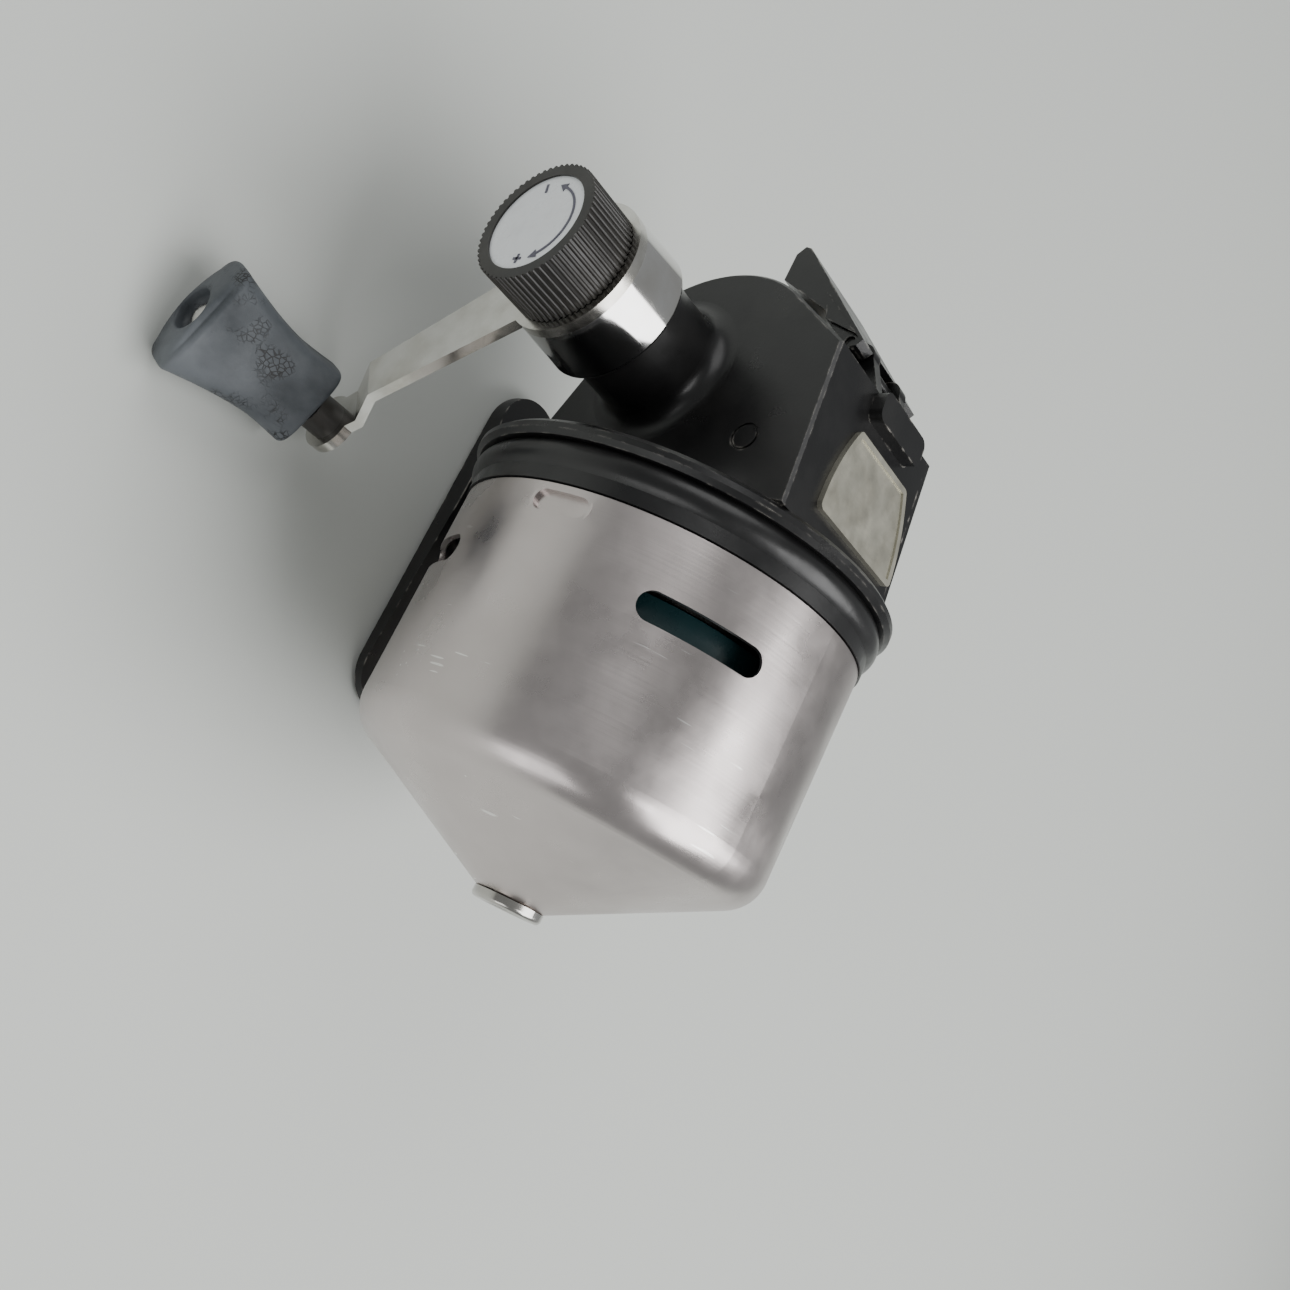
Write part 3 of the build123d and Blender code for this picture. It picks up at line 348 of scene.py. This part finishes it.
# Champagne plate: fine lines across the plate and faint stains.
def brushedPlate():
    finish = plateFinish
    material, tree, shader = newMaterial("brushed_plate")
    stain = clouds(tree, finish["stainScale"], 6, finish["stainSpan"], (0.0, finish["stainMost"]))
    tree.links.new(blendColours(tree, stain, finish["colour"], finish["stain"]), shader.inputs["Base Color"])
    shader.inputs["Metallic"].default_value = finish["metal"]
    roughness = clouds(tree, finish["roughnessScale"], 4, middle, finish["roughness"])
    tree.links.new(roughness, shader.inputs["Roughness"])
    lines = noise(tree, 1.0, 3, finish["lineStretch"])
    bump(tree, shader, lines, finish["lineBump"], finish["lineDepth"])
    return material


printFinish = {
    "dirtScale": 330, "dirtSpan": (0.5, 0.8), "dirtMost": 0.35, "dirtShade": 0.72,
    "roughnessScale": 200, "roughnessRise": 0.15, "coat": 0.4,
    "dial_white": {"colour": (0.80, 0.82, 0.84), "roughness": 0.22},
    "dial_ink": {"colour": (0.05, 0.045, 0.085), "roughness": 0.3},
}


# Printed face: clear gloss over one colour, with handling marks in a darker shade of it.
def printed(name):
    shared, finish = printFinish, printFinish[name]
    material, tree, shader = newMaterial(name)
    dirt = clouds(tree, shared["dirtScale"], 6, shared["dirtSpan"], (0.0, shared["dirtMost"]))
    darker = tuple(channel * shared["dirtShade"] for channel in finish["colour"])
    tree.links.new(blendColours(tree, dirt, finish["colour"], darker), shader.inputs["Base Color"])
    low = finish["roughness"]
    roughness = clouds(tree, shared["roughnessScale"], 4, middle, (low, low + shared["roughnessRise"]))
    tree.links.new(roughness, shader.inputs["Roughness"])
    shader.inputs["Coat Weight"].default_value = shared["coat"]
    return material


def makeFinishes():
    made = {"cover": satinCover(), "paint": blackPaint(), "grip": crackedRubber(), "plate": brushedPlate()}
    for key, name in (("steel", "plain_steel"), ("chrome", "bright_chrome"),
                      ("nickel", "nickel_plate"), ("brass", "turned_brass")):
        made[key] = plated(name)
    for key, name in (("rubber", "ring_rubber"), ("knob", "knob_plastic"),
                      ("rotor", "rotor_coating"), ("fibre", "oiled_fibre")):
        made[key] = moulded(name)
    for key, name in (("white", "dial_white"), ("ink", "dial_ink")):
        made[key] = printed(name)
    return made


nodeFinish = {
    "paint": ("body_housing", "reel_foot", "side_cover", "thumb_lever", "lever_pin"),
    "cover": ("front_cover",),
    "rubber": ("seal_ring",),
    "steel": ("foot_screws", "cover_screws", "spool_clip", "crank_spacer", "nose_ring", "crank_shaft",
              "drag_plate", "drag_spring", "grip_spindle", "centre_shaft", "spring_collar", "return_spring",
              "pickup_pin", "spool"),
    "chrome": ("drag_sleeve",),
    "nickel": ("crank_arm",),
    "knob": ("drag_knob", "grip_collar"),
    "white": ("dial_label",),
    "plate": ("nameplate",),
    "brass": ("crank_bush", "pinion_bush", "front_bush", "drive_gear", "thrust_button", "rotor_nut",
              "pinion"),
    "rotor": ("spinner_head",),
    "fibre": ("drag_washers",),
}


def dressNodes(finishes):
    for finish, names in nodeFinish.items():
        for name in names:
            materials = nodes[name].data.materials
            materials.clear()
            materials.append(finishes[finish])
    print("nodes dressed")


# New piece from points and faces, riding on a body.
def addMesh(name, points, faces, material, body, smooth=True):
    mesh = bpy.data.meshes.new(name)
    mesh.from_pydata(points.tolist(), [], faces)
    mesh.update()
    mesh.polygons.foreach_set("use_smooth", np.full(len(mesh.polygons), smooth))
    piece = bpy.data.objects.new(name, mesh)
    bpy.context.collection.objects.link(piece)
    mesh.materials.append(material)
    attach(piece, body)
    return piece


gripShape = {
    "turn": 154.5,                        # degrees, of the wide side about the spindle
    "innerHalf": 0.00675, "waistHalf": 0.0064, "outerHalf": 0.0087,
    "waistAt": 0.30, "flare": 1.5,        # share of the length, and how the sides leave the waist
    "innerThick": 0.0037, "outerThick": 0.0046,
    "edge": 0.0008, "edgeRings": 6,       # rounding at both ends
    "crown": 0.0009, "crownRings": 8,     # rise of the outer end towards the recess
    "recess": 0.0034, "recessDepth": 0.0022,
    "poleRings": (0.0, 0.5, 0.8),         # shares of the inner end's size
    "fallRings": (0.15, 0.5, 1.0, 1.0, 1.0), "floorRings": (0.96, 0.95, 0.94, 0.5, 0.0),
    "squareness": 4.2, "around": 128, "along": 48, "mergeGap": 1e-7,
}


# Rows from the inner pole to the recess floor: place along the grip, half width, half thickness,
# squareness. The sides grow from the waist as a power of the distance, both ends are quarter rounds,
# and the crown falls with the square of the distance from the recess.
def gripRows(length):
    edgeSize, crown, recess = gripShape["edge"], gripShape["crown"], gripShape["recess"]
    inner, waist, outer = gripShape["innerHalf"], gripShape["waistHalf"], gripShape["outerHalf"]
    along = np.linspace(0.0, 1.0, gripShape["along"])
    rise = np.clip((along - gripShape["waistAt"]) / (1 - gripShape["waistAt"]), 0, 1) ** gripShape["flare"]
    dip = np.clip(1 - along / gripShape["waistAt"], 0, 1) ** gripShape["flare"]
    wide = waist + (outer - waist) * rise + (inner - waist) * dip
    thick = gripShape["innerThick"] + (gripShape["outerThick"] - gripShape["innerThick"]) * along
    quarter = np.linspace(0.0, np.pi / 2, gripShape["edgeRings"] + 1)[:-1]
    innerShrink, outerShrink = edgeSize * (1 - np.sin(quarter)), edgeSize * (1 - np.sin(quarter[::-1]))
    pole = np.array(gripShape["poleRings"])
    towards = np.linspace(0.0, 1.0, gripShape["crownRings"] + 1)[1:]
    floorRings = recess * np.array(gripShape["floorRings"])

    place = [np.zeros(len(pole)),
             edgeSize * (1 - np.cos(quarter)),
             edgeSize + along * (length - 2 * edgeSize - crown),
             length - crown - edgeSize * (1 - np.cos(quarter[::-1])),
             length - crown * (1 - towards) ** 2,
             length - gripShape["recessDepth"] * np.array(gripShape["fallRings"])]
    half = [wide[0] * pole, wide[0] - innerShrink, wide, wide[-1] - outerShrink,
            (wide[-1] - edgeSize) * (1 - towards) + recess * towards, floorRings]
    deep = [thick[0] * pole, thick[0] - innerShrink, thick, thick[-1] - outerShrink,
            (thick[-1] - edgeSize) * (1 - towards) + recess * towards, floorRings]
    straight = len(pole) + 2 * len(quarter) + len(along)
    square = [np.full(straight, gripShape["squareness"]),
              gripShape["squareness"] * (1 - towards) + 2.0 * towards,
              np.full(len(floorRings), 2.0)]
    return [np.concatenate(group) for group in (place, half, deep, square)]


# Sign of a cosine or sine, times its size to the power 2 / squareness.
def roundedSquare(value, power):
    return np.sign(value) * np.abs(value) ** power


# Superellipse rings: half width times cosine and half thickness times sine, each squared off.
def makeGrip(finishes):
    low, high = (np.array(corner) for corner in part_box("grip"))
    place, half, deep, square = gripRows(high[1] - low[1])
    angle = np.linspace(0, 2 * np.pi, gripShape["around"], endpoint=False)
    power = 2.0 / square[:, None]
    across = half[:, None] * roundedSquare(np.cos(angle), power)
    through = deep[:, None] * roundedSquare(np.sin(angle), power)
    turn = radians(gripShape["turn"])
    centre = (low + high) / 2
    x = centre[0] + across * np.cos(turn) - through * np.sin(turn)
    z = centre[2] + across * np.sin(turn) + through * np.cos(turn)
    y = np.repeat((high[1] - place)[:, None], len(angle), 1)
    points = np.stack([x, y, z], 2).reshape(-1, 3)
    row, column = np.meshgrid(np.arange(len(place) - 1), np.arange(len(angle)), indexing="ij")
    start, ahead = row * len(angle), (column + 1) % len(angle)
    below = start + len(angle)
    quads = np.stack([start + column, start + ahead, below + ahead, below + column], 2).reshape(-1, 4)
    piece = addMesh("paddle_grip", points, quads.tolist(), finishes["grip"], "paddle")
    shell = bmesh.new()
    shell.from_mesh(piece.data)
    bmesh.ops.remove_doubles(shell, verts=shell.verts, dist=gripShape["mergeGap"])
    bmesh.ops.recalc_face_normals(shell, faces=shell.faces)
    shell.to_mesh(piece.data)
    shell.free()
    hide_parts("grip")
    print("grip ready")


dialMarks = {
    "height": 0.00006, "thicknessShare": 0.9, "stroke": 0.00036,
    "signSize": 0.0014, "signRadius": 0.0057, "plusAngle": 1.0, "minusAngle": 196.0,
    "arcRadius": 0.0058, "arcStart": 32.0, "arcEnd": 160.0, "arcPoints": 40,
    "headSize": 0.0013, "headHalf": 0.5,   # the arrow head's half width is a share of its length
}


# Point on the dial: angle from +X towards +Z, in the dial's own plane.
def dialPoint(radius, angle):
    return np.array([radius * np.cos(angle), radius * np.sin(angle)])


# Band of constant width along a path: each point is moved half the width along its normal, both ways.
def ribbon(path, width):
    path = np.asarray(path)
    tangent = np.gradient(path, axis=0)
    tangent /= np.linalg.norm(tangent, axis=1)[:, None]
    normal = np.stack([-tangent[:, 1], tangent[:, 0]], 1)
    count = len(path)
    rim = np.concatenate([path + normal * width / 2, path - normal * width / 2])
    index = np.arange(count - 1)
    quads = np.stack([index, index + 1, index + 1 + count, index + count], 1)
    return rim, quads.tolist()


# Arc of a circle as a ribbon, with a triangle at each end that points on along the circle.
def arcArrow():
    radius, size = dialMarks["arcRadius"], dialMarks["headSize"]
    angles = np.radians(np.linspace(dialMarks["arcStart"], dialMarks["arcEnd"], dialMarks["arcPoints"]))
    shapes = [ribbon(dialPoint(radius, angles).T, dialMarks["stroke"])]
    for angle, way in ((angles[0], -1), (angles[-1], 1)):
        out = dialPoint(1.0, angle)
        along = np.array([-out[1], out[0]]) * way
        base = dialPoint(radius, angle)
        wing = out * size * dialMarks["headHalf"]
        shapes.append((np.array([base + along * size, base + wing, base - wing]), [[0, 1, 2]]))
    return shapes


# One bar along the radius, and for a plus a second bar square to it.
def dialSign(angle, isPlus):
    spot = dialPoint(dialMarks["signRadius"], radians(angle))
    half = dialMarks["signSize"] / 2
    out = unit(spot)
    side = np.array([-out[1], out[0]])
    bars = (out, side) if isPlus else (out,)
    return [ribbon([spot - bar * half, spot, spot + bar * half], dialMarks["stroke"]) for bar in bars]


# Minus, plus and a two-headed arc arrow, each a thin raised plate on the dial's face.
def makeDialMarks(finishes):
    low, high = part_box("dial_label")
    middleX, middleZ = (low[0] + high[0]) / 2, (low[2] + high[2]) / 2
    level = low[1] - dialMarks["height"]
    shapes = arcArrow() + dialSign(dialMarks["minusAngle"], False) + dialSign(dialMarks["plusAngle"], True)
    points, faces, start = [], [], 0
    for flat, corners in shapes:
        points.append(np.stack([flat[:, 0] + middleX, np.full(len(flat), level), flat[:, 1] + middleZ], 1))
        faces += [[corner + start for corner in face] for face in corners]
        start += len(flat)
    piece = addMesh("dial_marks", np.concatenate(points), faces, finishes["ink"], "knob",
                    smooth=False)
    solid = piece.modifiers.new("thickness", "SOLIDIFY")
    solid.thickness = dialMarks["height"] * dialMarks["thicknessShare"]
    solid.offset = 0.0
    print("dial marks ready")


studio = {
    "floorSize": 3.0, "floorGap": 0.0004, "floorColour": (0.60, 0.62, 0.59), "floorRoughness": 0.55,
    "lights": {
        "key": {"size": 0.9, "power": 13.0, "place": (0.25, 0.35, 0.9)},
        "fill": {"size": 0.7, "power": 3.2, "place": (-0.7, -0.5, 0.6)},
        "low": {"size": 0.5, "power": 1.6, "place": (0.7, -0.6, 0.25)},
    },
    "aim": (0.0, 0.0, 0.04),
    "nearlyUp": (0.0, 0.1, 1.0),   # not quite upright, so that a light may stand straight overhead
    "worldColour": (0.80, 0.82, 0.82), "worldStrength": 0.36,
}


# Flat square just under the lowest point of the part.
def makeFloor():
    half = studio["floorSize"] / 2
    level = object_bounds()[0][2] - studio["floorGap"]
    corners = [(-half, -half, level), (half, -half, level), (half, half, level), (-half, half, level)]
    mesh = bpy.data.meshes.new("floor")
    mesh.from_pydata(corners, [], [(0, 1, 2, 3)])
    floor = bpy.data.objects.new("floor", mesh)
    bpy.context.collection.objects.link(floor)
    material, tree, shader = newMaterial("pale_floor")
    shader.inputs["Base Color"].default_value = (*studio["floorColour"], 1.0)
    shader.inputs["Roughness"].default_value = studio["floorRoughness"]
    mesh.materials.append(material)


# Square area light whose back axis runs from the aim point to its place.
def makeLight(name, size, power, place):
    data = bpy.data.lights.new(name, "AREA")
    data.size = size
    data.energy = power
    light = bpy.data.objects.new(name, data)
    bpy.context.collection.objects.link(light)
    back = unit(np.subtract(place, studio["aim"]))
    side = unit(np.cross(studio["nearlyUp"], back))
    light.matrix_world = turnMatrix(side, np.cross(back, side), back, place)


def makeStudio():
    makeFloor()
    for name, light in studio["lights"].items():
        makeLight(name, **light)
    world = bpy.data.worlds.new("studio")
    world.use_nodes = True
    background = world.node_tree.nodes["Background"]
    background.inputs["Color"].default_value = (*studio["worldColour"], 1.0)
    background.inputs["Strength"].default_value = studio["worldStrength"]
    bpy.context.scene.world = world
    print("studio ready")


makeCamera()
finishes = makeFinishes()
dressNodes(finishes)
makeGrip(finishes)
makeDialMarks(finishes)
makeStudio()
